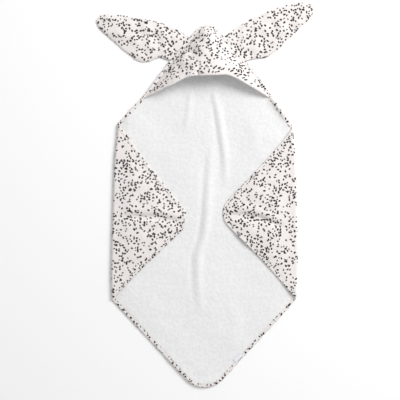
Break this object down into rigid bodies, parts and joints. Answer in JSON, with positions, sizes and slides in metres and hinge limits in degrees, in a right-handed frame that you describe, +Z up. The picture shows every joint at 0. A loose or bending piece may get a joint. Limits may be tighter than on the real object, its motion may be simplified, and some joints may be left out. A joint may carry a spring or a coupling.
{
  "type": "hooded baby towel",
  "caption": "Square terry baby towel with a printed outside, a domed hood with long ears over one corner and two side corners folded in over the front.",
  "frame": {"origin": "centre of the opened square towel, at its underside, on the surface that it lies on", "axes": "+Y from the centre towards the hood, +Z up out of the towel's terry side, +X to the right seen from above with the hood at the top"},
  "size_m": [0.6428, 1.1662, 0.0624],
  "materials": {
    "printed_cotton": "matt woven cotton, off-white with small dark brown specks",
    "terry": "soft white looped pile",
    "thread": "matt sewing thread",
    "label": "smooth woven satin, blank"
  },
  "bodies": {
    "towel": {"back_print_panel": "printed_cotton", "back_terry_panel": "terry", "top_edge_binding": "printed_cotton", "top_binding_stitching": "thread", "bottom_edge_binding": "printed_cotton", "bottom_binding_stitching": "thread", "woven_label": "label"},
    "left_flap": {"left_flap_print_panel": "printed_cotton", "left_flap_terry_panel": "terry", "left_flap_edge_binding": "printed_cotton", "left_flap_binding_stitching": "thread"},
    "right_flap": {"right_flap_print_panel": "printed_cotton", "right_flap_terry_panel": "terry", "right_flap_edge_binding": "printed_cotton", "right_flap_binding_stitching": "thread"},
    "hood": {"hood_terry_lining": "terry", "hood_print_shell": "printed_cotton", "hood_front_facing": "printed_cotton", "hood_hem_stitching": "thread"},
    "left_ear": {"left_ear_back_panel": "printed_cotton", "left_ear_filling": "terry", "left_ear_front_panel": "printed_cotton", "left_ear_edge_stitching": "thread"},
    "right_ear": {"right_ear_back_panel": "printed_cotton", "right_ear_filling": "terry", "right_ear_front_panel": "printed_cotton", "right_ear_edge_stitching": "thread"}
  },
  "joints": [
    {"name": "left_flap_fold", "type": "hinge", "parent": "towel", "child": "left_flap", "pos_m": [-0.28281, 0, 0.0062], "axis": [-0.0314, -0.9995, 0], "range_deg": [0, 178]},
    {"name": "right_flap_fold", "type": "hinge", "parent": "towel", "child": "right_flap", "pos_m": [0.28081, 0, 0.0062], "axis": [-0.0262, 0.9997, 0], "range_deg": [0, 178]},
    {"name": "hood_lift", "type": "hinge", "parent": "towel", "child": "hood", "pos_m": [0, 0.53934, 0.0055], "axis": [-1, 0, 0], "range_deg": [0, 25]},
    {"name": "left_ear_fold", "type": "hinge", "parent": "towel", "child": "left_ear", "pos_m": [-0.07446, 0.49165, 0.0055], "axis": [0.7071, 0.7071, 0], "range_deg": [0, 90]},
    {"name": "right_ear_fold", "type": "hinge", "parent": "towel", "child": "right_ear", "pos_m": [0.07446, 0.49165, 0.0055], "axis": [0.7071, -0.7071, 0], "range_deg": [0, 90]}
  ]
}
